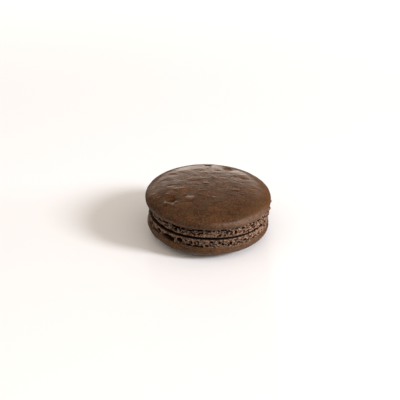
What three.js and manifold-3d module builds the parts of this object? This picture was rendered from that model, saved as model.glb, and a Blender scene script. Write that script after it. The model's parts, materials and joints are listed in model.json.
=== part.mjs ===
// A chocolate macaron: a filling between two baked almond shells, each a smooth domed cap on a
// ruffled foot. The shells lie with their flat tray faces to the filling, so the lower one is upside
// down and rests on the flattened top of its dome.
//
// Millimetres, +Z up. The origin is on the floor, under the middle of the macaron.
import * as THREE from 'three';
import { mergeVertices } from 'three/addons/utils/BufferGeometryUtils.js';
import Module from 'manifold-3d';

const wasm = await Module();
wasm.setup();

// Driving sizes.
const CAP_RADIUS = 22.5;         // widest circle of the upper cap
const FILLING_THICKNESS = 0.65;
const FILLING_INSET = 1.4;       // how far the filling stops short of the foot's edge
const FILLING_WAVE = 0.012;      // unevenness of its edge, as a share of its radius
const LAYER_GAP = 0.02;          // keeps the layers from sharing a face
const LEAN_PER_MM = 0.0012;      // the layers thicken to the left, -X, by this share per millimetre

// Side of a foot, from the tray face up to the groove under the cap. Heights are shares of its own.
const LIP_ROUND = 0.7;           // rounding where the side meets the tray face, across
const LIP_HEIGHT = 0.5;          // and up
const BELLY_SHARE = 0.55;        // where the side is fullest
const SHOULDER_SHARE = 0.78;     // where it turns in to the groove
const SHOULDER_IN = 0.45;        // how far in it is there, as a share of the groove's depth
const FRILL_FROM = 0.6;          // the frills start at this share of the foot's radius

// Each shell in its own measures. Heights count from the tray face towards the dome.
const UPPER = {
  capRadius: CAP_RADIUS,
  height: 9.1,
  waistHeight: 5.05,             // height of the widest circle
  domePower: 2.75,               // 2 would be an ellipse, more is a squarer shoulder
  restRadius: 0,                 // flat spot at the top of the dome
  curlDepth: 1.9,                // how far the cap's edge curls down under its widest circle
  curlReach: 1.5,                // and how far it curls in
  footRadius: 21.3,
  footShift: 0.8,                // the foot spread this far to +X of the cap
  creviceDepth: 1.3,             // the groove between the foot and the curled edge
  ruffle: 0.34,
  phase: 0.4,
};
const LOWER = {
  capRadius: 21.9,
  height: 8.3,
  waistHeight: 4.1,
  domePower: 2.45,
  restRadius: 7.5,
  curlDepth: 1.3,
  curlReach: 0.9,
  footRadius: 21.3,
  footShift: 0.1,
  creviceDepth: 0.8,
  ruffle: 0.4,
  phase: 2.1,
};

// Hollows baked into the upper cap's skin and bubbles raised on it, at [x, y] with their half
// width along X and along Y, and their rise, which is negative for a hollow.
const MARKS_FROM = 1.5;          // they reach their full rise this far over the widest circle
const CAP_MARKS = [
  { at: [-13.2, -8.4], half: [2.6, 1.9], rise: -0.75 },
  { at: [-12.6, -11.4], half: [2.4, 0.9], rise: 0.22 },
  { at: [-6.3, -7.0], half: [1.5, 1.6], rise: 0.4 },
  { at: [-4.6, 7.3], half: [2.2, 1.5], rise: 0.35 },
  { at: [7.7, 15.6], half: [2.8, 1.8], rise: -0.45 },
  { at: [13.4, 7.4], half: [2.4, 1.3], rise: -0.3 },
];

// The foot's largest hollows: angle in degrees from +X, height over the tray face, half width
// round the foot, half height, and depth into the foot.
const UPPER_HOLLOWS = [
  [-128, 2.1, 1.7, 0.8, 1.5],
  [-145, 1.9, 1.0, 0.6, 1.1],
  [-77, 2.2, 0.9, 0.5, 0.9],
  [-45, 1.7, 0.8, 0.6, 1.1],
  [-33, 2.1, 1.1, 0.5, 1.0],
];
const LOWER_HOLLOWS = [
  [-133, 2.2, 1.8, 0.8, 1.7],
  [-119, 2.0, 1.0, 0.75, 1.5],
  [-104, 2.3, 1.5, 0.7, 1.4],
  [-92, 2.4, 0.9, 0.5, 1.1],
  [-60, 2.0, 0.8, 0.5, 0.9],
];
// The hollows round the rest of each foot, from the first angle on, one for each step in degrees.
const UNSEEN_HOLLOWS = {
  count: 6, from: 8, step: 31, height: 2.1, halfWidth: 1.2, halfHeight: 0.65, depth: 1.2,
  vary: 0.3,                     // as a share of each size
};

// Waves that make the frills: how many round the foot, how strong, and turns per millimetre up.
const FRILL_WAVES = [[7, 0.5, 0], [13, 0.4, 0.25], [23, 0.4, 0.4]];

// Facets.
const ROUND_STEPS = 80;
const DOME_STEPS = 9;
const CURL_STEPS = 3;
const FOOT_STEPS = 3;            // for each of the foot's two curves

const goldenAngle = Math.PI * (3 - Math.sqrt(5));   // a turn that never repeats itself

// Quarter of a superellipse, from the widest point (radius, 0) to the flat spot at (flat, height).
function domeCurve(radius, height, power, flat) {
  const points = [];
  for (let i = 0; i <= DOME_STEPS; i++) {
    const t = (i / DOME_STEPS) * (Math.PI / 2);
    const across = i === DOME_STEPS ? 0 : Math.cos(t) ** (2 / power);
    const up = Math.sin(t) ** (2 / power);
    points.push(new THREE.Vector2(flat + (radius - flat) * across, height * up));
  }
  if (flat > 0) points.push(new THREE.Vector2(0, height));
  return points;
}

// Half section of a foot, from the middle of the tray face out round the lip and up to the crevice.
function footOutline({ footRadius, creviceDepth, waistHeight, curlDepth }) {
  const curlHeight = waistHeight - curlDepth;
  const edge = new THREE.Path();
  edge.moveTo(0, 0);
  edge.lineTo(footRadius * FRILL_FROM, 0);
  edge.lineTo(footRadius - LIP_ROUND, 0);
  edge.quadraticCurveTo(footRadius, 0, footRadius, LIP_HEIGHT);
  edge.quadraticCurveTo(footRadius, curlHeight * BELLY_SHARE,
    footRadius - creviceDepth * SHOULDER_IN, curlHeight * SHOULDER_SHARE);
  edge.lineTo(footRadius - creviceDepth, curlHeight);
  return edge.getPoints(FOOT_STEPS);
}

// Half section of a cap, from its curled edge round the widest circle and up over the dome.
function capOutline({ capRadius, curlReach, curlDepth, waistHeight, height, domePower, restRadius }) {
  const outline = [];
  for (let i = 0; i < CURL_STEPS; i++) {
    const t = (1 - i / CURL_STEPS) * (Math.PI / 2);
    outline.push(new THREE.Vector2(capRadius - curlReach * (1 - Math.cos(t)),
      waistHeight - curlDepth * Math.sin(t)));
  }
  const dome = domeCurve(capRadius, height - waistHeight, domePower, restRadius);
  return [...outline, ...dome.map((p) => new THREE.Vector2(p.x, p.y + waistHeight))];
}

// A smooth step from 0 to 1 between two values.
function step(from, to, value) {
  return THREE.MathUtils.smoothstep(value, from, to);
}

// How far the frilled side of a foot stands out at an angle and a height.
function frill({ ruffle, phase }, angle, height) {
  let out = 0;
  for (const [count, strength, turns] of FRILL_WAVES) {
    const slant = Math.cos(2 * Math.PI * turns * height + phase);
    out += ruffle * strength * Math.sin(count * (angle + phase)) * slant;
  }
  return out;
}

// Frills the first rows of a lathed shell, which are its foot, and shifts them off the middle.
function bakeFoot(geometry, size, rows, footRows) {
  const position = geometry.getAttribute('position');
  for (let i = 0; i < position.count; i++) {
    if (i % rows >= footRows) continue;
    const x = position.getX(i);
    const y = position.getY(i);
    const radius = Math.hypot(x, y);
    const angle = Math.atan2(y, x);
    const edge = step(size.footRadius * FRILL_FROM, size.footRadius - LIP_ROUND, radius);
    const grown = radius + edge * frill(size, angle, position.getZ(i));
    position.setX(i, grown * Math.cos(angle) + size.footShift);
    position.setY(i, grown * Math.sin(angle));
  }
}

// The marks on the cap's skin, as a change of height over a point of the dome.
function markHeight(x, y) {
  let height = 0;
  for (const { at, half, rise } of CAP_MARKS) {
    const far = Math.hypot((x - at[0]) / half[0], (y - at[1]) / half[1]);
    height += rise * Math.exp(-far * far);
  }
  return height;
}

// Every layer is a little thicker on the left than on the right.
function lean(geometry) {
  const position = geometry.getAttribute('position');
  for (let i = 0; i < position.count; i++) {
    const thicker = 1 - LEAN_PER_MM * position.getX(i);
    position.setZ(i, position.getZ(i) * thicker);
  }
}

// Closes a geometry: position alone, with shared corners merged.
function closed(geometry) {
  geometry.deleteAttribute('normal');
  geometry.deleteAttribute('uv');
  return mergeVertices(geometry, 1e-4);
}

function toSolid(geometry) {
  return new wasm.Manifold(new wasm.Mesh({
    numProp: 3,
    vertProperties: new Float32Array(geometry.getAttribute('position').array),
    triVerts: new Uint32Array(geometry.index.array),
  }));
}

function toGeometry(solid) {
  const mesh = solid.getMesh();
  return new THREE.BufferGeometry()
    .setAttribute('position', new THREE.BufferAttribute(mesh.vertProperties, 3))
    .setIndex(new THREE.BufferAttribute(mesh.triVerts, 1));
}

// One hollow: a small ellipsoid with its middle on the side of the foot.
function hollow(size, [degrees, height, halfWidth, halfHeight, depth]) {
  const shape = closed(new THREE.IcosahedronGeometry(1, 1));
  const angle = THREE.MathUtils.degToRad(degrees);
  shape.scale(depth, halfWidth, halfHeight);
  shape.rotateZ(angle);
  shape.translate(size.footShift + size.footRadius * Math.cos(angle),
    size.footRadius * Math.sin(angle), height);
  return toSolid(shape);
}

// The hollows round the part of a foot that the others leave, each a little unlike the last.
function unseenHollows({ count, from, step: apart, height, halfWidth, halfHeight, depth, vary }) {
  const list = [];
  for (let i = 0; i < count; i++) {
    const size = 1 + vary * Math.sin(goldenAngle * i);
    list.push([from + apart * (i + size - 1), height, halfWidth * size, halfHeight, depth * size]);
  }
  return list;
}

// A shell with its tray face at height 0 and its dome up.
function shellGeometry(size, hollows) {
  const foot = footOutline(size);
  const outline = [...foot, ...capOutline(size)];
  const turned = new THREE.LatheGeometry(outline, ROUND_STEPS);
  turned.rotateX(Math.PI / 2);
  bakeFoot(turned, size, outline.length, foot.length);
  let solid = toSolid(closed(turned));
  for (const place of [...hollows, ...unseenHollows(UNSEEN_HOLLOWS)]) {
    solid = solid.subtract(hollow(size, place));
  }
  return toGeometry(solid);
}

// Mirrors a geometry in its tray face, and keeps its faces pointing out.
function upsideDown(geometry) {
  geometry.scale(1, 1, -1);
  const index = geometry.index.array;
  for (let i = 0; i < index.length; i += 3) {
    [index[i + 1], index[i + 2]] = [index[i + 2], index[i + 1]];
  }
  return geometry;
}

function lowerShell() {
  const geometry = upsideDown(shellGeometry(LOWER, LOWER_HOLLOWS));
  geometry.translate(0, 0, LOWER.height);
  lean(geometry);
  return geometry;
}

function upperShell() {
  const geometry = shellGeometry(UPPER, UPPER_HOLLOWS);
  const position = geometry.getAttribute('position');
  for (let i = 0; i < position.count; i++) {
    const onDome = step(UPPER.waistHeight, UPPER.waistHeight + MARKS_FROM, position.getZ(i));
    const marks = onDome * markHeight(position.getX(i), position.getY(i));
    position.setZ(i, position.getZ(i) + marks);
  }
  geometry.translate(0, 0, LOWER.height + FILLING_THICKNESS + 2 * LAYER_GAP);
  lean(geometry);
  return geometry;
}

// A disc with a soft edge, right through between the tray faces.
function filling() {
  const radius = LOWER.footRadius - FILLING_INSET;
  const half = FILLING_THICKNESS / 2;
  const outline = new THREE.Path();
  outline.moveTo(0, -half);
  outline.lineTo(radius - half, -half);
  outline.absarc(radius - half, 0, half, -Math.PI / 2, Math.PI / 2);
  outline.lineTo(0, half);
  const turned = new THREE.LatheGeometry(outline.getPoints(2), ROUND_STEPS);
  turned.rotateX(Math.PI / 2);
  const geometry = closed(turned);
  const position = geometry.getAttribute('position');
  for (let i = 0; i < position.count; i++) {
    const x = position.getX(i);
    const y = position.getY(i);
    const pressed = 1 + FILLING_WAVE * Math.sin(5 * Math.atan2(y, x));
    position.setXY(i, x * pressed, y * pressed);
  }
  const shift = (LOWER.footShift + UPPER.footShift) / 2;
  geometry.translate(shift, 0, LOWER.height + LAYER_GAP + half);
  lean(geometry);
  return geometry;
}

const BAKED_SHELL = { color: 0x5e4630, roughness: 0.62, metalness: 0 };
const DARK_FILLING = { color: 0x23160e, roughness: 0.45, metalness: 0 };

function layer(name, geometry, finish) {
  const made = new THREE.Mesh(geometry, new THREE.MeshStandardMaterial(finish));
  made.name = name;
  return made;
}

const macaron = new THREE.Group();
macaron.add(layer('lower_shell', lowerShell(), BAKED_SHELL));
macaron.add(layer('filling', filling(), DARK_FILLING));
macaron.add(layer('upper_shell', upperShell(), BAKED_SHELL));

// Stands the macaron with its origin under the middle of its box.
const middle = new THREE.Box3().setFromObject(macaron).getCenter(new THREE.Vector3());
macaron.position.set(-middle.x, -middle.y, 0);

export default macaron;
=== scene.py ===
import json
import math
import random

import bpy
from mathutils import Matrix, Vector
from mathutils.kdtree import KDTree

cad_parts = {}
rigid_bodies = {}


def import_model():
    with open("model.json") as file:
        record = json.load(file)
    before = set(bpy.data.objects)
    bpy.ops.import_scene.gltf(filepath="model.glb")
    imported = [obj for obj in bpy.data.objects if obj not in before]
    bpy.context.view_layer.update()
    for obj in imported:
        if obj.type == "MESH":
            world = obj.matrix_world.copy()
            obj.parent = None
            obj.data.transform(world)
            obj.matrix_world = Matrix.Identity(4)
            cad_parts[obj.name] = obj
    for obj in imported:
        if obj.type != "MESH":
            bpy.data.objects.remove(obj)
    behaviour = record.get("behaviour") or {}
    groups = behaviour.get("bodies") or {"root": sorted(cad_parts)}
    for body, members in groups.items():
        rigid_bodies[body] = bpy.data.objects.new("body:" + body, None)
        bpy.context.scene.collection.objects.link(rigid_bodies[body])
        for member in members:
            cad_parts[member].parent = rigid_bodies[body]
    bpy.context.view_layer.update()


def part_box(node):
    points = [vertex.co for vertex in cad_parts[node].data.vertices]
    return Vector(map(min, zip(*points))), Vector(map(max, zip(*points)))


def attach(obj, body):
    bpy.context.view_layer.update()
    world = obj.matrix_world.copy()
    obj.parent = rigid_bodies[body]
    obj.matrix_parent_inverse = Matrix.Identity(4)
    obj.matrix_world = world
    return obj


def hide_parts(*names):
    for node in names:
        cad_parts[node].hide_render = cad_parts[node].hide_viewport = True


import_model()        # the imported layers

mm = 0.001
upperLow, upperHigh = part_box("upper_shell")
fillingLow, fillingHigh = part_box("filling")

macaron = {
    "radius": (upperHigh.y - upperLow.y) / 2 / mm,      # of the upper cap, in mm
    "seam": (fillingLow.z + fillingHigh.z) / 2 / mm,    # height of the filling's middle
    "filling": 0.65,                                    # its thickness
    "layerGap": 0.02,
    "leanPerMm": 0.0012,                                # thicker to the left, as a share
    "seamLift": {-1: 0.45, 0: 0.4, 1: -0.5},            # the seam's rise at the left, middle and right
}
trayHeight = macaron["filling"] / 2 + macaron["layerGap"]    # from the seam to a tray face


# modelling helpers

def pickNone():
    bpy.ops.object.select_all(action="DESELECT")


def pickOnly(piece):
    pickNone()
    piece.select_set(True)
    bpy.context.view_layer.objects.active = piece


def editMesh(piece, pick="DESELECT"):
    pickOnly(piece)
    bpy.ops.object.mode_set(mode="EDIT")
    bpy.ops.mesh.select_mode(type="VERT")
    bpy.ops.mesh.select_all(action=pick)


def leaveMesh():
    bpy.ops.object.mode_set(mode="OBJECT")


def applyPlace(piece):
    pickOnly(piece)
    bpy.ops.object.transform_apply(location=True, rotation=True, scale=True)


def applied(piece, kind, **settings):
    pickOnly(piece)
    modifier = piece.modifiers.new(kind.title(), kind)
    for name, value in settings.items():
        setattr(modifier, name, value)
    bpy.ops.object.modifier_apply(modifier=modifier.name)


def triangleCount(piece):
    return sum(len(face.vertices) - 2 for face in piece.data.polygons)


# 0 to 1 with soft ends, as value goes from low to high
def eased(value, low, high):
    share = min(1.0, max(0.0, (value - low) / (high - low)))
    return share * share * (3 - 2 * share)


# a cloud texture for displacing, its lumps size mm wide
def lumps(name, size, depth=2):
    texture = bpy.data.textures.new(name, "CLOUDS")
    texture.noise_scale = size * mm
    texture.noise_depth = depth
    return texture


# stretch draws the lumps out along X
def displaced(piece, texture, height, group="", direction="NORMAL", stretch=1.0):
    pickNone()
    bpy.ops.object.empty_add()
    measure = bpy.context.object
    measure.scale.x = stretch
    bpy.context.view_layer.update()
    applied(piece, "DISPLACE", texture=texture, texture_coords="OBJECT", texture_coords_object=measure,
            strength=height * mm, mid_level=0.5, vertex_group=group, direction=direction)
    bpy.data.objects.remove(measure)


# a vertex group with the share that shareAt gives for a place in mm
def paintGroup(piece, name, shareAt):
    group = piece.vertex_groups.new(name=name)
    for vertex in piece.data.vertices:
        group.add([vertex.index], shareAt(vertex.co / mm), "REPLACE")


# an attribute on each point that the materials read, from its place in mm
def notePoints(piece, name, valueAt):
    values = [valueAt(vertex.co / mm) for vertex in piece.data.vertices]
    piece.data.attributes.new(name, "FLOAT", "POINT").data.foreach_set("value", values)


# moves the points at spots, and what lies within reach of them, as with proportional editing
def nudge(piece, spots, shift, reach, falloff="SMOOTH"):
    for spot in spots:
        piece.data.vertices[spot].select = True
    bpy.ops.object.mode_set(mode="EDIT")
    bpy.ops.transform.translate(value=Vector(shift) * mm, use_proportional_edit=True,
                                proportional_edit_falloff=falloff, proportional_size=reach * mm)
    bpy.ops.mesh.select_all(action="DESELECT")
    leaveMesh()


# finds the points of a piece by their place in mm, of those that suit
def pointFinder(piece, suits=lambda vertex: True, flat=False):
    finder = KDTree(len(piece.data.vertices))
    for vertex in piece.data.vertices:
        if suits(vertex):
            x, y, z = vertex.co / mm
            finder.insert((x, y, 0 if flat else z), vertex.index)
    finder.balance()
    return finder


# a circle of edges, extruded from ring to ring; each ring is [radius, height over the tray face]
def raiseRings(name, rings, sides, up, shift=0.0):
    base = macaron["seam"] + up * trayHeight
    radius, height = rings[0]
    pickNone()
    bpy.ops.mesh.primitive_circle_add(vertices=sides, radius=radius * mm,
                                      location=(shift * mm, 0, (base + up * height) * mm))
    piece = bpy.context.object
    piece.name = name
    applyPlace(piece)
    editMesh(piece, "SELECT")
    for nextRadius, nextHeight in rings[1:]:
        bpy.ops.mesh.extrude_region_move(
            TRANSFORM_OT_translate={"value": (0, 0, up * (nextHeight - height) * mm)})
        share = nextRadius / radius
        middle = (shift * mm, 0, (base + up * nextHeight) * mm)
        bpy.ops.transform.resize(value=(share, share, 1), center_override=middle)
        radius, height = nextRadius, nextHeight
    leaveMesh()
    return piece


def faceOutwards(piece):
    editMesh(piece, "SELECT")
    bpy.ops.mesh.remove_doubles(threshold=0.001 * mm)
    bpy.ops.mesh.normals_make_consistent(inside=False)
    leaveMesh()


# the lattice that makes every layer thicker on the left and bends the seam, applied to each piece
def addLeaning():
    reach, top = 60 * mm, 24 * mm
    layers, nearSeam = 4, 1     # the second layer up, at 8 mm, is the one near the seam
    pickNone()
    bpy.ops.object.add(type="LATTICE", location=(0, 0, top / 2))
    lattice = bpy.context.object
    lattice.name = "leaning"
    lattice.scale = (reach, reach, top)
    lattice.data.interpolation_type_u = "KEY_LINEAR"
    lattice.data.interpolation_type_v = "KEY_LINEAR"
    lattice.data.interpolation_type_w = "KEY_LINEAR"
    lattice.data.points_u = 3
    lattice.data.points_w = layers
    for point in lattice.data.points:
        side, share = round(2 * point.co_deform.x), point.co_deform.z + 0.5
        point.co_deform.z -= macaron["leanPerMm"] * point.co_deform.x * reach / mm * share
        if round((layers - 1) * share) == nearSeam:
            point.co_deform.z += macaron["seamLift"][side] * mm / top
    return lattice


def lean(piece):
    applied(piece, "LATTICE", object=leaning)


leaning = addLeaning()


# caps

upperCap = {
    "name": "upper_cap", "up": 1, "sides": 180, "radius": macaron["radius"],
    "waist": 5.3, "height": 9.45, "power": 2.3, "flat": 0.0,     # of the dome, from the tray face
    "curlDepth": 1.55, "curlReach": 0.6, "tuck": 2.6,             # of the edge that curls under
    "domeRings": 9, "curlRings": 4, "gridRadius": 13.0,
    "swell": 0.32, "waves": 0.10, "ripples": 0.065, "backRipples": 0.08, "hem": 0.5, "seed": 5,
    "marks": [    # path in mm seen from above, reach, rise, falloff
        ([(-14.0, -7.8), (-12.8, -8.2)], 2.2, -0.22, "SMOOTH"),                     # the dimple
        ([(-13.9, -9.2), (-12.4, -9.6)], 1.5, -0.54, "SMOOTH"),
        ([(-15.0, -10.8), (-13.7, -12.0), (-12.2, -13.0)], 1.3, 0.28, "SMOOTH"),    # its creases
        ([(-12.2, -12.2), (-11.2, -11.0)], 1.0, 0.12, "SMOOTH"),
        ([(-10.3, -12.5), (-7.9, -12.0)], 0.6, 0.08, "SMOOTH"),
        ([(-11.4, -13.4), (-10.1, -13.6)], 0.6, 0.08, "SMOOTH"),
        ([(-14.6, -5.4), (-14.2, -5.4)], 0.7, 0.12, "SMOOTH"),
        ([(-6.9, -8.6), (-5.6, -8.6)], 2.0, 0.18, "SMOOTH"),                        # blisters
        ([(-7.6, -10.9), (-6.6, -11.1), (-5.7, -10.9)], 0.8, -0.12, "SMOOTH"),
        ([(-5.8, 5.4), (-4.4, 5.3), (-3.0, 5.4)], 2.0, 0.10, "SMOOTH"),
        ([(-5.9, 3.6), (-4.5, 3.4), (-3.3, 3.6)], 0.9, -0.03, "SMOOTH"),
        ([(-11.7, -2.4), (-10.2, -2.2), (-8.8, -1.9)], 1.1, 0.14, "SMOOTH"),
        ([(9.4, -2.4), (10.6, -2.4)], 1.1, 0.14, "SMOOTH"),
        ([(9.3, -3.5), (10.6, -3.5)], 0.6, -0.06, "SMOOTH"),
        ([(12.3, 7.0), (14.3, 6.6)], 1.0, -0.12, "SMOOTH"),                         # dents
        ([(-14.0, 0.5), (-12.2, 0.5)], 0.8, -0.08, "SMOOTH"),
        ([(-5.8, 8.9), (-3.6, 8.9)], 0.8, -0.04, "SMOOTH"),
        ([(4.9, 7.0), (5.9, 7.0)], 0.8, -0.05, "SMOOTH"),
        ([(6.4, 16.4), (8.9, 15.0)], 3.4, -0.42, "SMOOTH"),                         # the large one
        ([(-0.8, 18.0), (1.0, 17.8)], 1.0, -0.36, "SMOOTH"),
        ([(3.2, 12.4), (4.2, 12.4)], 1.2, -0.12, "SMOOTH"),
        ([(-13.4, 9.6), (-12.6, 9.6)], 1.8, -0.16, "SMOOTH"),
        ([(10.4, 10.9), (12.6, 10.0)], 3.4, 0.20, "SMOOTH"),                        # swellings at the back
        ([(-9.4, 12.6), (-7.2, 12.8)], 2.4, 0.10, "SMOOTH"),
        ([(-4.2, 14.0), (-2.2, 14.2)], 2.4, 0.10, "SMOOTH"),
        ([(-2.2, 10.6), (-0.6, 10.6)], 1.6, 0.08, "SMOOTH"),
        ([(2.6, 10.8), (4.6, 10.8)], 1.6, 0.06, "SMOOTH"),
        ([(-1.4, 1.9), (-0.5, 1.9)], 0.9, 0.10, "SMOOTH"),                          # small ones
        ([(-3.1, -3.6), (-1.4, -3.4)], 0.8, 0.08, "SMOOTH"),
        ([(-17.9, -5.8), (-17.5, -5.9)], 0.8, -0.10, "SMOOTH"),
        ([(1.7, 7.2), (2.3, 7.1)], 0.7, 0.08, "SMOOTH"),
        ([(14.6, -1.0), (15.2, -1.0)], 0.6, 0.07, "SMOOTH"),
        ([(8.1, -5.8)], 0.4, 0.10, "SPHERE"),
        ([(2.5, -15.1)], 0.45, 0.13, "SPHERE"),
    ],
    "smallMarks": 90,    # see strewn
    "mattes": [    # spots without sheen: middle, half width, half depth, amount
        (-13.0, -9.0, 2.4, 2.4, 0.9), (-13.0, -11.6, 3.0, 2.2, 0.2), (-6.9, -10.6, 1.8, 0.6, 0.6),
        (7.2, 15.6, 2.6, 3.4, 0.85), (13.3, 6.6, 1.3, 0.9, 0.6), (-14.0, 6.0, 2.5, 1.6, 0.35),
        (0.4, 18.6, 1.6, 1.2, 0.7), (-18.2, 3.5, 3.2, 4.2, 0.3),
    ],
    "paintedHighlights": [     # painted highlights: spots of sheen painted paler, given the same way; the blister's is partly paler skin
        (-6.4, -8.2, 1.9, 1.8, 0.18), (11.0, 12.0, 3.4, 3.2, 0.14), (-8.8, 13.6, 2.4, 1.8, 0.08),
    ],
    "hemPulls": [    # degrees from +X, out, rise, reach
        (-126, 0.0, 0.35, 2.6), (-58, -0.05, -0.25, 4.0), (-40, 0.0, -0.25, 4.0), (-150, 0.0, 0.2, 3.0),
    ],
}
lowerCap = {
    "name": "lower_cap", "up": -1, "sides": 180, "radius": macaron["radius"] - 0.6,
    "waist": 4.1, "height": 8.3, "power": 2.45, "flat": 7.5,
    "curlDepth": 1.2, "curlReach": 0.45, "tuck": 2.4,
    "domeRings": 9, "curlRings": 3, "gridRadius": 11.0,
    "swell": 0.28, "waves": 0.14, "ripples": 0.08, "backRipples": 0.0, "hem": 0.6, "seed": 8,
    "marks": [], "smallMarks": 0, "mattes": [], "paintedHighlights": [],
    "hemPulls": [(-142, 0.15, 0.75, 6.0), (-165, 0.1, 0.8, 6.0), (-122, 0.05, 0.3, 3.0)],
}
capSkin = {    # sizes in mm of what roughens both caps, and where the crest, back and edge lie
    "swellSize": 11, "hemSize": 2.6, "waveSize": 3.2, "rippleSize": 0.7, "backRippleSize": 1.1,
    "backRippleStretch": 1.3,
    "crest": (-1.7, -0.5), "crestEnd": (-0.2, 0.9),    # mm under the widest circle
    "back": (-6, 10),                                  # where the back's ripples set in
    "edge": (0.45, 0.95),                              # shares of the curl's depth
}
sheenEdge = {    # in mm: where the back, the right and the front begin and end
    "back": (-4, 10), "right": (8, 18), "front": (-14, -4),
    "start": (3.4, 0.8, 1.8), "end": (0.3, 2.5, 0.3),    # in from the edge, more at back, and right
    "most": 0.5, "mostMore": 0.3,                        # shares of the sheen
}
strewn = {    # the small marks: half length, reach and rise in mm, and how far they turn from X
    "radius": 20.5, "half": (0.2, 1.2), "turn": 0.4, "reach": (0.45, 0.95), "rise": (0.02, 0.06),
    "backFrom": 3, "frontShare": 0.8,    # in front of backFrom they rise less
}


# height of the dome over its widest circle, a superellipse from the flat spot outwards
def domeHeight(cap, radius):
    share = max(0.0, radius - cap["flat"]) / (cap["radius"] - cap["flat"])
    return (cap["height"] - cap["waist"]) * (1 - share ** cap["power"]) ** (1 / cap["power"])


def capRings(cap):
    edge, low = cap["radius"] - cap["curlReach"], cap["waist"] - cap["curlDepth"]
    rings = [(edge - cap["tuck"], low + 0.5), (edge - 1.0, low + 0.25)]    # the underside rises inwards
    for i in range(cap["curlRings"]):
        turn = (1 - i / cap["curlRings"]) * math.pi / 2
        rings.append((cap["radius"] - cap["curlReach"] * (1 - math.cos(turn)),
                      cap["waist"] - cap["curlDepth"] * math.sin(turn)))
    for i in range(cap["domeRings"]):
        turn = i / cap["domeRings"] * math.pi / 2
        radius = cap["gridRadius"] + (cap["radius"] - cap["gridRadius"]) * math.cos(turn) ** 0.8
        rings.append((radius, cap["waist"] + domeHeight(cap, radius)))
    rings.append((cap["gridRadius"], cap["waist"] + domeHeight(cap, cap["gridRadius"])))
    return rings


# raises or sinks the skin along a path, fading out at reach
def pushSkin(piece, finder, path, reach, rise, falloff):
    steps = 6
    ends = list(zip(path, path[1:])) or [(path[0], path[0])]
    spots = set()
    for (startX, startY), (endX, endY) in ends:
        for i in range(steps + 1):
            share = i / steps
            spot = (startX + (endX - startX) * share, startY + (endY - startY) * share, 0)
            spots.add(finder.find(spot)[1])
    nudge(piece, spots, (0, 0, rise), reach, falloff)


# short faint ridges and dents strewn over the skin, most of them along X
def strewnMarks(cap):
    dice = random.Random(cap["seed"])
    marks = []
    for _ in range(cap["smallMarks"]):
        radius, angle = strewn["radius"] * math.sqrt(dice.random()), dice.uniform(-math.pi, math.pi)
        x, y = radius * math.cos(angle), radius * math.sin(angle)
        half, turn = dice.uniform(*strewn["half"]), dice.gauss(0, strewn["turn"])
        share = 1.0 if y > strewn["backFrom"] else strewn["frontShare"]
        rise = dice.uniform(*strewn["rise"]) * dice.choice([1, 1, -1]) * share
        stepX, stepY = half * math.cos(turn), half * math.sin(turn)
        reach = dice.uniform(*strewn["reach"])
        marks.append(([(x - stepX, y - stepY), (x + stepX, y + stepY)], reach, rise, "SMOOTH"))
    return marks


def markSkin(piece, cap):
    # only the domed side counts, not what lies under the curled edge
    finder = pointFinder(piece, lambda vertex: cap["up"] * vertex.normal.z > 0.2, flat=True)
    editMesh(piece)
    leaveMesh()
    for path, reach, rise, falloff in cap["marks"] + strewnMarks(cap):
        pushSkin(piece, finder, path, reach, rise, falloff)


# pulls stretches of the cap's lower edge up or down, and out
def pullHem(piece, cap, low):
    finder = pointFinder(piece)
    editMesh(piece)
    leaveMesh()
    for degrees, out, rise, reach in cap["hemPulls"]:
        across, along = math.cos(math.radians(degrees)), math.sin(math.radians(degrees))
        radius = cap["radius"] - cap["curlReach"]
        spot = finder.find((radius * across, radius * along, low))[1]
        nudge(piece, [spot], (out * across, out * along, rise), reach)


# how much of the marked places' finish a spot on the skin takes
def placesShare(places, spot):
    share = 0.0
    for x, y, wide, deep, amount in places:
        far = math.hypot((spot.x - x) / wide, (spot.y - y) / deep)
        share = max(share, amount * (1 - eased(far, 0.4, 1.0)))
    return share


# how far the sheen has faded towards the edge, more at the back and on the right, not in front
def edgeMatt(cap, spot):
    back, right = eased(spot.y, *sheenEdge["back"]), eased(spot.x, *sheenEdge["right"])
    start, startBack, startRight = sheenEdge["start"]
    end, endBack, endRight = sheenEdge["end"]
    start = cap["radius"] - start - startBack * back - startRight * right
    end = cap["radius"] - end - endBack * back - endRight * right
    most = sheenEdge["most"] + sheenEdge["mostMore"] * max(back, right)
    front = eased(spot.y, *sheenEdge["front"])
    return most * eased(math.hypot(spot.x, spot.y), start, end) * front


# groups for the modifiers and values for the skin's material, all from the place on the cap
def noteSkin(piece, cap, waist):
    def under(spot):    # how far below the widest circle, towards the foot
        return cap["up"] * (waist - spot.z)

    depth = cap["curlDepth"]
    edgeLow, edgeHigh = (share * depth for share in capSkin["edge"])
    paintGroup(piece, "hem", lambda spot: eased(under(spot), 0.0, depth))
    paintGroup(piece, "back", lambda spot: eased(spot.y, *capSkin["back"]))
    # rim is 1 along the crest over the edge, and edge is 1 along the very edge
    notePoints(piece, "rim", lambda spot: eased(under(spot), *capSkin["crest"])
               * (1 - 0.7 * eased(under(spot), *capSkin["crestEnd"])))
    notePoints(piece, "edge", lambda spot: eased(under(spot), edgeLow, edgeHigh))
    notePoints(piece, "matt", lambda spot: max(edgeMatt(cap, spot), placesShare(cap["mattes"], spot)))
    # painted highlight spots, where sheen is painted into the colour
    notePoints(piece, "paintedHighlight", lambda spot: placesShare(cap["paintedHighlights"], spot))


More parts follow.
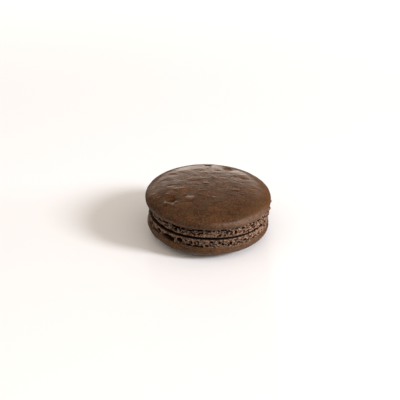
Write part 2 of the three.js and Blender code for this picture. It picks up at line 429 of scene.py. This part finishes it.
def makeCap(cap):
    piece = raiseRings(cap["name"], capRings(cap), cap["sides"], cap["up"])
    editMesh(piece)
    leaveMesh()
    for vertex in piece.data.vertices[-cap["sides"]:]:
        vertex.select = True
    bpy.ops.object.mode_set(mode="EDIT")
    bpy.ops.mesh.fill_grid(span=cap["sides"] // 4)
    leaveMesh()
    # the grid is flat, so its middle is drawn up to the dome
    base = macaron["seam"] + cap["up"] * trayHeight
    for vertex in piece.data.vertices:
        radius = math.hypot(vertex.co.x, vertex.co.y) / mm
        if radius < cap["gridRadius"] - 0.01:
            vertex.co.z = (base + cap["up"] * (cap["waist"] + domeHeight(cap, radius))) * mm
    applied(piece, "SUBSURF", levels=2, render_levels=2)
    editMesh(piece)
    bpy.ops.mesh.select_non_manifold()
    bpy.ops.mesh.edge_face_add()
    bpy.ops.mesh.poke()
    leaveMesh()
    faceOutwards(piece)
    waist = base + cap["up"] * cap["waist"]
    noteSkin(piece, cap, waist)
    displaced(piece, lumps(cap["name"] + "Swell", capSkin["swellSize"]), cap["swell"])
    displaced(piece, lumps(cap["name"] + "Hem", capSkin["hemSize"]), cap["hem"], "hem", "Z")
    displaced(piece, lumps(cap["name"] + "Waves", capSkin["waveSize"]), cap["waves"])
    pullHem(piece, cap, waist - cap["up"] * cap["curlDepth"])
    markSkin(piece, cap)
    displaced(piece, lumps(cap["name"] + "Ripples", capSkin["rippleSize"]), cap["ripples"])
    if cap["backRipples"]:
        displaced(piece, lumps(cap["name"] + "BackRipples", capSkin["backRippleSize"]), cap["backRipples"],
                  "back", stretch=capSkin["backRippleStretch"])
    lean(piece)
    pickOnly(piece)
    bpy.ops.object.shade_smooth()
    print(cap["name"], "made,", triangleCount(piece), "triangles")
    return piece


# what bulges under the table top is pressed flat
def restFlat(piece):
    editMesh(piece)
    leaveMesh()
    for vertex in piece.data.vertices:
        vertex.select = vertex.co.z < 0
    bpy.ops.object.mode_set(mode="EDIT")
    bpy.ops.transform.resize(value=(1, 1, 0), center_override=(0, 0, 0))
    leaveMesh()


# feet

upperFoot = {
    "name": "upper_foot", "up": 1, "sides": 180, "shift": 0.8, "radius": 21.3,
    "rings": [(-4.5, 0), (-2.4, 0), (-1.0, 0), (-0.14, 0.1), (0, 0.42), (0.02, 1.1),
              (0, 1.8), (-0.02, 2.5), (-0.12, 3.1), (-0.4, 3.7), (-1.6, 4.2), (-4.5, 4.5)],
    "lumpSize": 1.1, "lump": 0.4, "grainSize": 0.45, "grain": 0.22, "torn": 0.28,
    "seed": 4, "bubbles": 600, "bubble": 0.41, "spread": 0.42, "most": 0.9, "floor": 0.75, "ceiling": 3.4,
    "mode": 2.9, "crowd": 0.8, "calm": [(-66, -14)],    # degrees where some bubbles are left out
    "bumps": [    # degrees from +X, height, out, rise, reach
        (4, 2.9, 1.0, 0, 1.4), (-5, 1.7, 0.5, 0, 0.9), (14, 1.5, 0.5, 0, 1.2), (-16, 2.6, 0.35, 0, 1.0),
        (-172, 0.1, 0, -0.3, 2.3), (-160, 0.1, 0, -0.3, 2.3), (-148, 0.1, 0, -0.28, 2.3),
        (-136, 0.1, 0, -0.2, 2.3), (-125, 0.1, 0, -0.22, 2.3), (-115, 0.1, 0, -0.15, 2.0),
        (-43, 0.1, -0.2, 0.1, 1.7), (-34, 0.1, -0.35, 0.2, 1.7), (-25, 0.1, -0.4, 0.2, 1.7),
        (-16, 0.1, -0.4, 0.2, 1.7), (-7, 0.1, -0.4, 0.2, 1.7),
        (-150, 3.4, -0.5, 0, 1.5), (-141, 3.4, -0.5, 0, 1.4),
    ],
    "hollows": [    # degrees, height, half width, half height, depth
        (-167, 0.9, 1.1, 0.3, 0.9), (-162, 1.4, 1.2, 0.32, 1.0), (-157, 1.85, 1.2, 0.32, 1.0),
        (-147, 1.8, 1.6, 0.6, 1.5), (-138, 2.3, 1.8, 0.7, 1.6), (-150, 2.7, 1.8, 0.45, 1.2),
        (-125, 2.6, 2.2, 1.0, 2.1), (-117, 2.3, 1.1, 0.5, 1.3), (-111, 2.3, 1.4, 0.55, 1.2),
        (-100, 2.9, 1.2, 0.48, 1.4), (-93, 2.95, 1.1, 0.44, 1.4), (-78, 3.0, 1.4, 0.42, 1.5),
        (-71, 1.2, 0.8, 0.5, 1.2), (-66, 1.8, 0.6, 0.8, 1.3), (-58, 2.55, 0.95, 0.5, 1.4),
        (-47, 2.35, 1.2, 0.55, 1.5), (-44, 1.45, 0.9, 0.5, 1.3), (-38, 3.0, 1.1, 0.42, 1.3),
        (-24, 1.8, 1.0, 0.7, 1.2), (-2, 2.1, 0.6, 0.6, 1.0),
    ],
}
lowerFoot = {
    "name": "lower_foot", "up": -1, "sides": 180, "shift": 0.1, "radius": 21.5,
    "rings": [(-4.5, 0), (-2.4, 0), (-1.0, 0), (-0.14, 0.1), (0, 0.42), (0.03, 1.1),
              (0.05, 1.8), (0.05, 2.5), (0, 3.0), (-0.3, 3.3), (-1.8, 3.6), (-4.5, 3.7)],
    "lumpSize": 1.0, "lump": 0.35, "grainSize": 0.42, "grain": 0.20, "torn": 0.26,
    "seed": 9, "bubbles": 520, "bubble": 0.38, "spread": 0.42, "most": 0.8, "floor": 0.75, "ceiling": 3.0,
    "mode": 2.4, "crowd": 0.8, "calm": [(-50, 10), (-50, 10)],    # twice, so that more are left out
    "bumps": [(-111, 1.65, 0.35, 0, 1.1), (-100, 1.0, 0.15, 0, 0.9), (-60, 1.0, 0.15, 0, 1.0)],
    "hollows": [
        (-131, 2.0, 3.0, 1.3, 2.4), (-118, 1.45, 1.4, 1.05, 1.9), (-109, 2.6, 1.2, 0.65, 1.6),
        (-106, 1.5, 0.45, 0.7, 1.2), (-102, 2.7, 1.5, 0.6, 1.6), (-92, 2.3, 0.85, 0.55, 1.4),
        (-158, 1.1, 1.4, 0.6, 1.7), (-152, 2.1, 1.5, 0.8, 1.9), (-144, 1.3, 1.2, 0.8, 1.8),
        (-80, 1.2, 0.65, 0.6, 1.2), (-77, 1.8, 0.55, 0.6, 1.2), (-69, 1.8, 0.7, 0.85, 1.3),
        (-61, 2.0, 0.9, 0.55, 1.3), (-54, 1.75, 0.95, 0.68, 1.3), (-41, 1.8, 0.5, 0.3, 0.8),
        (-29, 2.0, 0.45, 0.3, 0.7),
    ],
}
footCrumb = {    # in mm, but for creaseAngle; the crumb's painted shade reads the depth behind the side
    "tornSize": 0.5, "creaseAngle": 50, "sideFrom": 0.4, "mostInset": 0.15, "shade": 0.3, "shadeTo": 0.25,
}
farHollows = {    # the large ones on the far side: degrees, share of the ceiling, half sizes and depth
    "from": 10, "to": 200, "step": 11, "stray": 5,
    "height": (0.5, 0.85), "wide": (0.5, 1.6), "tall": (0.35, 0.6), "deep": (0.8, 1.6),
}
smallBubbles = {    # half sizes and depth as shares of each bubble's own size
    "least": 0.13, "wide": (1.0, 1.7), "tall": (0.7, 1.1), "deep": (1.2, 2.0), "sunk": (-0.1, 0.4),
    "roll": 0.6, "tries": 6, "calmShare": 0.6,    # calmShare are left out where the foot is calm
}


# one burst bubble, a lumpy ball that all are copied from
def addBubble():
    pickNone()
    bpy.ops.mesh.primitive_ico_sphere_add(subdivisions=2, radius=1)
    bubble = bpy.context.object
    editMesh(bubble, "SELECT")
    bpy.ops.transform.vertex_random(offset=0.2, seed=3)
    leaveMesh()
    return bubble


# how far the foot's side stands in at a height, read off its rings
def sideAt(foot, height):
    outer = [ring for ring in foot["rings"] if ring[0] > -1.4]
    for (insetA, low), (insetB, high) in zip(outer, outer[1:]):
        if height <= high:
            return insetA + (insetB - insetA) * max(0.0, height - low) / max(high - low, 0.01)
    return outer[-1][0]


def bubblePlace(foot, degrees, height, wide, tall, deep, roll=0.0, sunk=0.0):
    angle = math.radians(degrees)
    base = macaron["seam"] + foot["up"] * trayHeight
    out = foot["radius"] + sideAt(foot, height) - sunk
    middle = Vector((foot["shift"] + out * math.cos(angle), out * math.sin(angle),
                     base + foot["up"] * height)) * mm
    size = Vector((deep, wide, tall)) * mm
    turn = Matrix.Rotation(angle, 4, "Z") @ Matrix.Rotation(roll, 4, "X")
    return Matrix.Translation(middle) @ turn @ Matrix.Diagonal((*size, 1))


# every burst bubble of a foot: the large hollows first, then small ones with walls between them
def bubblePlaces(foot):
    dice = random.Random(foot["seed"])
    hollows = list(foot["hollows"])
    for degrees in range(farHollows["from"], farHollows["to"], farHollows["step"]):
        hollows.append((degrees + dice.uniform(-farHollows["stray"], farHollows["stray"]),
                        dice.uniform(*farHollows["height"]) * foot["ceiling"],
                        dice.uniform(*farHollows["wide"]), dice.uniform(*farHollows["tall"]),
                        dice.uniform(*farHollows["deep"])))
    taken = []
    places = []
    for degrees, height, wide, tall, deep in hollows:
        taken.append((math.radians(degrees) * foot["radius"], height, wide, tall))
        places.append(bubblePlace(foot, degrees, height, wide, tall, deep))
    small = smallBubbles
    for _ in range(foot["bubbles"] * small["tries"]):
        degrees = dice.uniform(-180, 180)
        height = dice.triangular(foot["floor"], foot["ceiling"], foot["mode"])
        size = foot["bubble"] * math.exp(dice.gauss(0, foot["spread"]))
        size = min(foot["most"], max(small["least"], size))
        wide, tall = size * dice.uniform(*small["wide"]), size * dice.uniform(*small["tall"])
        deep = size * dice.uniform(*small["deep"])
        roll, sunk = dice.uniform(-small["roll"], small["roll"]), size * dice.uniform(*small["sunk"])
        along = math.radians(degrees) * foot["radius"]
        if len(places) >= foot["bubbles"]:
            break
        if any(low < degrees < high and dice.random() < small["calmShare"] for low, high in foot["calm"]):
            continue
        if any(math.hypot((along - otherAlong) / (wide + otherWide),
                          (height - otherHeight) / (tall + otherTall)) < foot["crowd"]
               for otherAlong, otherHeight, otherWide, otherTall in taken):
            continue
        taken.append((along, height, wide, tall))
        places.append(bubblePlace(foot, degrees, height, wide, tall, deep, roll, sunk))
    return places


# sorts the bubbles into batches in which none touches another, so that each batch cuts cleanly
def inBatches(places):
    batches = []
    for place in places:
        middle, reach = place.translation, max(place.to_scale())
        for batch in batches:
            if all((middle - other).length > reach + size for other, size, _ in batch):
                break
        else:
            batch = []
            batches.append(batch)
        batch.append((middle, reach, place))
    return [[place for _, _, place in batch] for batch in batches]


def cutBubbles(piece, bubble, places):
    for batch in inBatches(places):
        pickNone()
        for place in batch:
            copy = bubble.copy()
            copy.data = bubble.data.copy()
            copy.data.transform(place)
            bpy.context.collection.objects.link(copy)
            copy.select_set(True)
        bpy.context.view_layer.objects.active = copy
        bpy.ops.object.join()
        applied(piece, "BOOLEAN", object=copy, operation="DIFFERENCE", solver="MANIFOLD")
        bpy.data.objects.remove(copy)
    piece.data.materials.clear()


# bubbles that lie wholly inside, and slivers, are cleared away: all that doesn't join the first ring
def clearLoose(piece, foot):
    inset, height = foot["rings"][0]
    tray = macaron["seam"] + foot["up"] * (trayHeight + height)
    joined = pointFinder(piece).find((foot["shift"] + foot["radius"] + inset, 0, tray))[1]
    editMesh(piece)
    leaveMesh()
    piece.data.vertices[joined].select = True
    bpy.ops.object.mode_set(mode="EDIT")
    bpy.ops.mesh.select_linked()
    bpy.ops.mesh.select_all(action="INVERT")
    bpy.ops.mesh.delete(type="VERT")
    leaveMesh()


# pushes parts of the side out or in, up or down
def bulgeSide(piece, foot):
    base = macaron["seam"] + foot["up"] * trayHeight
    finder = pointFinder(piece)
    editMesh(piece)
    leaveMesh()
    for degrees, height, out, rise, reach in foot["bumps"]:
        across, along = math.cos(math.radians(degrees)), math.sin(math.radians(degrees))
        spot = (foot["shift"] + foot["radius"] * across, foot["radius"] * along, base + foot["up"] * height)
        nudge(piece, [finder.find(spot)[1]], (out * across, out * along, rise), reach)


# how deep a place lies behind the foot's side, in mm; the side's rounded ends hardly count
def depthBehind(foot, spot):
    height = foot["up"] * (spot.z - macaron["seam"]) - trayHeight
    inset = sideAt(foot, max(footCrumb["sideFrom"], height))
    side = foot["radius"] + max(-footCrumb["mostInset"], inset)
    shade = footCrumb["shade"] * (1 - eased(height, 0.0, footCrumb["shadeTo"]))    # painted shade beside the filling: places near the tray face count as deeper
    return side - math.hypot(spot.x - foot["shift"], spot.y) + shade


def makeFoot(foot, bubble):
    rings = [(foot["radius"] + inset, height) for inset, height in foot["rings"]]
    piece = raiseRings(foot["name"], rings, foot["sides"], foot["up"], foot["shift"])
    editMesh(piece)
    bpy.ops.mesh.select_non_manifold()
    bpy.ops.mesh.bridge_edge_loops()
    leaveMesh()
    faceOutwards(piece)
    applied(piece, "SUBSURF", levels=2, render_levels=2)
    tray = macaron["seam"] + foot["up"] * trayHeight
    paintGroup(piece, "side", lambda spot: eased(foot["up"] * (spot.z - tray), 0.05, 0.6))
    displaced(piece, lumps(foot["name"] + "Lumps", foot["lumpSize"]), foot["lump"], "side")
    displaced(piece, lumps(foot["name"] + "Grain", foot["grainSize"]), foot["grain"], "side")
    bulgeSide(piece, foot)
    cutBubbles(piece, bubble, bubblePlaces(foot))
    clearLoose(piece, foot)
    displaced(piece, lumps(foot["name"] + "Torn", footCrumb["tornSize"]), foot["torn"], "side")
    notePoints(piece, "depth", lambda spot: depthBehind(foot, spot))    # for the crumb's painted shade
    lean(piece)
    pickOnly(piece)
    bpy.ops.object.shade_smooth_by_angle(angle=math.radians(footCrumb["creaseAngle"]))
    print(foot["name"], "made,", triangleCount(piece), "triangles")
    return piece


# filling

filling = {
    "name": "filling_layer", "sides": 144, "inset": 0.9, "shift": 0.45, "wave": 0.35, "waveSize": 3.0,
    "rings": [(-5, -1), (-1.0, -1), (-0.2, -0.8), (0, 0), (-0.2, 0.8), (-1.0, 1), (-5, 1)],
    "waveFrom": -4, "waveTo": -1,    # mm from its edge; heights in rings are shares of half its thickness
}


def makeFilling():
    half = macaron["filling"] / 2
    radius = lowerFoot["radius"] - filling["inset"]
    # rings count from the tray face, which lies over the filling's middle
    rings = [(radius + inset, -trayHeight + share * half) for inset, share in filling["rings"]]
    piece = raiseRings(filling["name"], rings, filling["sides"], 1, filling["shift"])
    applied(piece, "SUBSURF", levels=2, render_levels=2)
    editMesh(piece)
    bpy.ops.mesh.select_non_manifold()
    bpy.ops.mesh.edge_face_add()
    leaveMesh()
    faceOutwards(piece)
    waveFrom, waveTo = radius + filling["waveFrom"], radius + filling["waveTo"]
    paintGroup(piece, "edge", lambda spot: eased(math.hypot(spot.x, spot.y), waveFrom, waveTo))
    displaced(piece, lumps("fillingWave", filling["waveSize"]), filling["wave"], "edge")
    lean(piece)
    pickOnly(piece)
    bpy.ops.object.shade_smooth()
    print(filling["name"], "made,", triangleCount(piece), "triangles")
    return piece


# shaders

class Wire:
    def __init__(self, tree, socket=None):
        self.tree = tree
        self.socket = socket

    # adds a node: its settings are set first, then its inputs by name or number
    def node(self, kind, settings=None, inputs=None, out=0):
        made = self.tree.nodes.new("ShaderNode" + kind)
        for name, value in (settings or {}).items():
            setattr(made, name, value)
        for name, value in (inputs or {}).items():
            if isinstance(value, Wire):
                self.tree.links.new(value.socket, made.inputs[name])
            else:
                made.inputs[name].default_value = value
        return Wire(self.tree, made.outputs[out])

    def maths(self, operation, *values):
        return self.node("Math", {"operation": operation}, dict(enumerate(values)))

    def __add__(self, other):
        return self.maths("ADD", self, other)

    def __radd__(self, other):
        return self.maths("ADD", other, self)

    def __sub__(self, other):
        return self.maths("SUBTRACT", self, other)

    def __rsub__(self, other):
        return self.maths("SUBTRACT", other, self)

    def __mul__(self, other):
        return self.maths("MULTIPLY", self, other)

    def __rmul__(self, other):
        return self.maths("MULTIPLY", other, self)

    def __abs__(self):
        return self.maths("ABSOLUTE", self)

    # this vector with each part times a number
    def stretched(self, x, y, z):
        return self.node("VectorMath", {"operation": "MULTIPLY"}, {0: self, 1: (x, y, z)})

    # how far this vector reaches along a direction
    def towards(self, direction):
        return self.node("VectorMath", {"operation": "DOT_PRODUCT"}, {0: self, 1: direction}, out="Value")

    # one part of this vector, X, Y or Z
    def part(self, axis):
        return self.node("SeparateXYZ", {}, {0: self}, out=axis)

    # noise of a size in mm, about 0 to 1
    def noise(self, size, detail=2.0, rough=0.5):
        return self.node("TexNoise", {}, {"Vector": self, "Scale": 1 / (size * mm), "Detail": detail,
                                          "Roughness": rough})

    # a value noted on the piece's points
    def attribute(self, name):
        return self.node("Attribute", {"attribute_name": name}, out="Fac")

    # smooth step of this value from low to high
    def rising(self, low, high):
        return self.node("MapRange", {"interpolation_type": "SMOOTHSTEP"},
                         {"Value": self, "From Min": low, "From Max": high})

    # a colour between two, by this value
    def blendOf(self, first, second):
        return self.node("Mix", {"data_type": "RGBA"}, {0: self, 6: first, 7: second}, out=2)


def colour(red, green, blue):
    return (red, green, blue, 1.0)


# a material with a Principled shader; returns both, and its object coordinates
def newFinish(name, rough, specular=0.5):
    material = bpy.data.materials.new(name)
    material.use_nodes = True
    tree = material.node_tree
    shader = tree.nodes["Principled BSDF"]
    shader.inputs["Roughness"].default_value = rough
    shader.inputs["Specular IOR Level"].default_value = specular
    place = Wire(tree).node("TexCoord", out="Object")
    return material, shader, place


def feed(place, shader, socket, value):
    place.tree.links.new(value.socket, shader.inputs[socket])


bakedSkin = {
    "dark": colour(0.021, 0.0086, 0.0036), "warm": colour(0.106, 0.0427, 0.0127),
    "olive": colour(0.053, 0.031, 0.0108),
    # rim: the crest over the edge painted paler, most towards the right front; partly paler baked skin,
    # partly a painted highlight where the key light catches the crest
    "rim": colour(0.155, 0.092, 0.058), "edge": colour(0.10, 0.066, 0.040),
    "speck": colour(0.020, 0.010, 0.006), "crumb": colour(0.16, 0.10, 0.065),
    "orange": colour(0.12, 0.052, 0.016),    # of the streaks along the lower cap
    "toastAndLight": colour(0.125, 0.062, 0.029),    # of the right side: painted light where the key lamp falls, partly a warmer skin
    # the colour of the painted highlight spots
    "paintedHighlight": colour(0.34, 0.27, 0.23),
    "mottleSize": 6, "patchSize": 1.5, "fineSize": 0.6, "oliveSize": 3.1, "streakSize": 0.9,    # mm
    "speckSize": 0.45, "grainSize": 0.45,
    "mottleShare": 0.28, "patchShare": 0.30, "fineShare": 0.42,    # of the three noises, 1 in all
    "lowCap": (5, 7),                # height in mm where the lower cap's colours fade out
    "toastAndLightFrom": 12, "toastAndLightTo": 21, "rimFrom": 17.5, "rimTo": 22,    # mm from the middle
    "rimHighlightSide": (0.56, -0.83, 0),     # towards the right front, where the crest gets its painted highlight from the key light
    "rough": 0.30, "mottleRough": 0.08, "rimRough": 0.22, "mattRough": 0.8,
    "specular": 0.16, "bump": 0.9, "grain": 0.05,
}


def makeSkin():
    material, shader, place = newFinish("bakedSkin", bakedSkin["rough"], bakedSkin["specular"])
    mottle = place.noise(bakedSkin["mottleSize"], 3).rising(0.35, 0.65)
    patch = place.stretched(0.6, 1, 1).noise(bakedSkin["patchSize"], 3).rising(0.32, 0.68)
    fine = place.stretched(0.8, 1, 1).noise(bakedSkin["fineSize"], 2).rising(0.36, 0.64)
    clouds = (bakedSkin["mottleShare"] * mottle + bakedSkin["patchShare"] * patch
              + bakedSkin["fineShare"] * fine)
    tone = clouds.blendOf(bakedSkin["dark"], bakedSkin["warm"])
    olive = place.stretched(1, 1, 2).noise(bakedSkin["oliveSize"], 2).rising(0.48, 0.7)
    tone = (0.7 * olive).blendOf(tone, bakedSkin["olive"])
    fadeLow, fadeHigh = bakedSkin["lowCap"]
    low = 1 - place.part("Z").rising(fadeLow * mm, fadeHigh * mm)
    streaks = place.stretched(0.3, 0.3, 1.6).noise(bakedSkin["streakSize"], 2).rising(0.42, 0.66)
    tone = (0.5 * low * streaks).blendOf(tone, bakedSkin["orange"])
    # painted highlight along the crest: paler colour, strongest on the side the key light comes from,
    # partly paler skin
    rim = place.attribute("rim")
    paintedHighlight = place.towards(bakedSkin["rimHighlightSide"]).rising(bakedSkin["rimFrom"] * mm, bakedSkin["rimTo"] * mm)
    tone = (rim * paintedHighlight * (1 - 0.6 * low) * (0.35 + 0.5 * patch)).blendOf(tone, bakedSkin["rim"])
    edge = place.attribute("edge") * (1 - 0.5 * low) * (0.12 + 0.38 * patch)
    tone = edge.blendOf(tone, bakedSkin["edge"])
    dots = place.noise(bakedSkin["speckSize"], 1)
    tone = (0.6 * dots.rising(0.56, 0.70)).blendOf(tone, bakedSkin["speck"])
    tone = (0.35 * (1 - dots.rising(0.30, 0.42))).blendOf(tone, bakedSkin["crumb"])
    # painted light: the right side, which the key lamp faces, is painted lighter and warmer, partly as
    # warmer skin
    toastAndLight = place.part("X").rising(bakedSkin["toastAndLightFrom"] * mm, bakedSkin["toastAndLightTo"] * mm)
    tone = (toastAndLight * (0.4 - 0.25 * low)).blendOf(tone, bakedSkin["toastAndLight"])
    # painted highlights: sheen painted into the colour at the listed spots
    tone = place.attribute("paintedHighlight").blendOf(tone, bakedSkin["paintedHighlight"])
    feed(place, shader, "Base Color", tone)
    bump = place.node("Bump", {}, {"Strength": bakedSkin["bump"], "Distance": bakedSkin["grain"] * mm,
                                   "Height": place.noise(bakedSkin["grainSize"], 3)})
    feed(place, shader, "Normal", bump)
    rough = bakedSkin["rough"] + bakedSkin["mottleRough"] * mottle + bakedSkin["rimRough"] * rim
    feed(place, shader, "Roughness", rough)
    # where the sheen is missing, a matt shader of the same colour takes over
    matt = place.node("BsdfPrincipled", {}, {"Base Color": tone, "Roughness": bakedSkin["mattRough"],
                                             "Specular IOR Level": 0.0, "Normal": bump})
    glossy = Wire(place.tree, shader.outputs["BSDF"])
    finish = place.node("MixShader", {}, {0: place.attribute("matt"), 1: glossy, 2: matt})
    place.tree.links.new(finish.socket, place.tree.nodes["Material Output"].inputs["Surface"])
    return material


openCrumb = {
    "dark": colour(0.037, 0.0185, 0.0106), "light": colour(0.19, 0.115, 0.074),
    "paintedKeyLight": colour(0.28, 0.160, 0.101), "paintedKeyLightSide": (0.85, -0.53, 0),    # painted light: paler towards the right, where the key lamp falls
    "paintedKeyLightFrom": 12, "paintedKeyLightTo": 21,    # mm from the middle
    # sparkle: pale grains in the crumb, partly painted glints
    "sparkle": colour(0.42, 0.31, 0.235), "sparkleShare": 0.65,
    "deep": colour(0.010, 0.0045, 0.0025), "paintedShadeFrom": 0.16, "paintedShadeTo": 0.68,    # painted shade in the pores, from and to these mm behind the side
    "patchSize": 0.8, "sparkleSize": 0.32, "grainSize": 0.2,
    "rough": 0.7, "specular": 0.1, "bump": 0.8, "grain": 0.04,
}


def makeCrumb():
    material, shader, place = newFinish("openCrumb", openCrumb["rough"], openCrumb["specular"])
    patch = place.noise(openCrumb["patchSize"], 3).rising(0.36, 0.64)
    # painted light: the crumb is painted paler towards the side the key lamp comes from
    paintedKeyLight = place.towards(openCrumb["paintedKeyLightSide"])
    paintedKeyLight = paintedKeyLight.rising(openCrumb["paintedKeyLightFrom"] * mm, openCrumb["paintedKeyLightTo"] * mm)
    tone = patch.blendOf(openCrumb["dark"], paintedKeyLight.blendOf(openCrumb["light"], openCrumb["paintedKeyLight"]))
    # pale grains, partly painted glints
    sparkle = openCrumb["sparkleShare"] * place.noise(openCrumb["sparkleSize"], 1).rising(0.58, 0.70)
    tone = sparkle.blendOf(tone, openCrumb["sparkle"])
    # painted shade: the deeper a place lies behind the side, the nearer black it is painted
    deep = place.attribute("depth").rising(openCrumb["paintedShadeFrom"], openCrumb["paintedShadeTo"])
    feed(place, shader, "Base Color", deep.blendOf(tone, openCrumb["deep"]))
    bump = place.node("Bump", {}, {"Strength": openCrumb["bump"], "Distance": openCrumb["grain"] * mm,
                                   "Height": place.noise(openCrumb["grainSize"], 2)})
    feed(place, shader, "Normal", bump)
    return material


darkFilling = {
    "dark": colour(0.006, 0.003, 0.002), "warm": colour(0.022, 0.008, 0.004), "patchSize": 2,
    "rough": 0.6, "specular": 0.1, "bump": 0.6, "grain": 0.05, "grainSize": 0.5,
}


def makeGanache():
    material, shader, place = newFinish("darkFilling", darkFilling["rough"], darkFilling["specular"])
    patch = place.noise(darkFilling["patchSize"], 2).rising(0.3, 0.7)
    feed(place, shader, "Base Color", patch.blendOf(darkFilling["dark"], darkFilling["warm"]))
    bump = place.node("Bump", {}, {"Strength": darkFilling["bump"], "Distance": darkFilling["grain"] * mm,
                                   "Height": place.noise(darkFilling["grainSize"], 2)})
    feed(place, shader, "Normal", bump)
    return material


table = {
    "size": 3.0, "white": colour(0.89, 0.92, 0.93),
    # away: whiter floor to the right and behind; the duller floor in front and at left is painted
    # reflection and shade of the macaron
    "away": colour(0.94, 0.98, 1.0), "awayRight": (19, 25), "awayBack": (10, 40),    # mm from the middle
    "rough": 0.06, "specular": 0.7,
}


def makeTable():
    pickNone()
    bpy.ops.mesh.primitive_plane_add(size=table["size"])
    floor = bpy.context.object
    floor.name = "table"
    material, shader, place = newFinish("glossyTable", table["rough"], table["specular"])
    rightFrom, rightTo = table["awayRight"]
    backFrom, backTo = table["awayBack"]
    # painted reflection and shade: the floor is whiter to the right and behind, and stays duller in front
    # and to the left, where the macaron's reflection and shadow fall
    away = (place.part("X").rising(rightFrom * mm, rightTo * mm)
            + place.part("Y").rising(backFrom * mm, backTo * mm))
    feed(place, shader, "Base Color", away.blendOf(table["white"], table["away"]))
    floor.data.materials.append(material)


# light and camera

studio = {    # how bright the room is on each side, in red, green and blue
    "frontHigh": colour(0.92, 0.80, 0.71), "frontLeft": colour(0.15, 0.13, 0.12),
    "frontRight": colour(0.60, 0.50, 0.42),
    "glow": colour(4.3, 3.65, 3.2), "glowSide": colour(1.0, 0.75, 0.60),     # low behind, and beside that
    "backMiddle": colour(0.21, 0.19, 0.18), "backTop": colour(0.53, 0.45, 0.38),
    "behind": (0.0, 0.6), "lowBand": (0.15, 0.42), "middle": (0.45, 0.75),    # where one fades to the next
    "glowTurn": 0.08, "glowEdge": (0.2, 0.55), "frontFade": (-0.4, 0.4),
    "key": {"turn": -20.6, "rise": 28.4, "distance": 2.0, "halfWidth": 6.9, "halfHeight": 9.1,
            "power": 43.5, "tint": (0.97, 0.95, 1.0)},
}
view = {    # rise in degrees, the rest in mm
    "rise": 29.3, "lens": 100, "distance": 400.6, "target": 9.0, "left": 2.92, "up": 3.06,
}


def aimed(thing, spot):
    thing.rotation_euler = (Vector(spot) - thing.location).to_track_quat("-Z", "Y").to_euler()


# the room: soft light in front, and a bright low band behind that gives the caps their sheen
def makeRoom():
    world = bpy.data.worlds.new("studioRoom")
    world.use_nodes = True
    direction = Wire(world.node_tree).node("TexCoord", out="Generated")
    across, rise = direction.part("X"), direction.part("Z")
    behind = direction.part("Y").rising(*studio["behind"])
    aside = abs(across + studio["glowTurn"]).rising(*studio["glowEdge"])
    front = across.rising(*studio["frontFade"]).blendOf(studio["frontLeft"], studio["frontRight"])
    low = behind.blendOf(front, aside.blendOf(studio["glow"], studio["glowSide"]))
    back = rise.rising(*studio["middle"]).blendOf(studio["backMiddle"], studio["backTop"])
    high = behind.blendOf(studio["frontHigh"], back)
    tone = rise.rising(*studio["lowBand"]).blendOf(low, high)
    background = world.node_tree.nodes["Background"]
    world.node_tree.links.new(tone.socket, background.inputs["Color"])
    bpy.context.scene.world = world


def makeKeyLight():
    key = studio["key"]
    turn, rise = math.radians(key["turn"]), math.radians(key["rise"])
    spot = Vector((math.cos(turn) * math.cos(rise), math.sin(turn) * math.cos(rise), math.sin(rise)))
    pickNone()
    bpy.ops.object.light_add(type="AREA", location=spot * key["distance"])
    lamp = bpy.context.object
    lamp.name = "keyLight"
    lamp.data.shape = "ELLIPSE"
    lamp.data.size = 2 * key["distance"] * math.tan(math.radians(key["halfWidth"]))
    lamp.data.size_y = 2 * key["distance"] * math.tan(math.radians(key["halfHeight"]))
    lamp.data.energy = key["power"]
    lamp.data.color = key["tint"]
    aimed(lamp, (0, 0, macaron["seam"] * mm))


def makeCamera():
    rise = math.radians(view["rise"])
    target = Vector((0, 0, view["target"] * mm))
    back = Vector((0, -math.cos(rise), math.sin(rise)))
    upward = Vector((0, math.sin(rise), math.cos(rise)))
    pickNone()
    bpy.ops.object.camera_add(location=target + back * view["distance"] * mm)
    camera = bpy.context.object
    camera.name = "photoCamera"
    aimed(camera, target)
    camera.location += Vector((-view["left"] * mm, 0, 0)) + upward * view["up"] * mm
    camera.data.lens = view["lens"]
    camera.data.clip_start = 0.01
    bpy.context.scene.camera = camera


makeCamera()
makeRoom()
makeKeyLight()
makeTable()
print("camera, room, key light and table set")

skin = makeSkin()
crumb = makeCrumb()
ganache = makeGanache()
print("materials made")


# gives a piece its material, fixes it to the root body and hides the part it stands in for
def finishPiece(piece, material, node):
    piece.data.materials.append(material)
    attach(piece, "root")
    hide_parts(node)


bubble = addBubble()
finishPiece(makeCap(upperCap), skin, "upper_shell")
finishPiece(makeFoot(upperFoot, bubble), crumb, "upper_shell")
finishPiece(makeFilling(), ganache, "filling")
finishPiece(makeFoot(lowerFoot, bubble), crumb, "lower_shell")
bottom = makeCap(lowerCap)
restFlat(bottom)
finishPiece(bottom, skin, "lower_shell")
bpy.data.objects.remove(bubble)
bpy.data.objects.remove(leaning)

bpy.context.scene.view_settings.view_transform = "Standard"
bpy.context.scene.view_settings.look = "None"
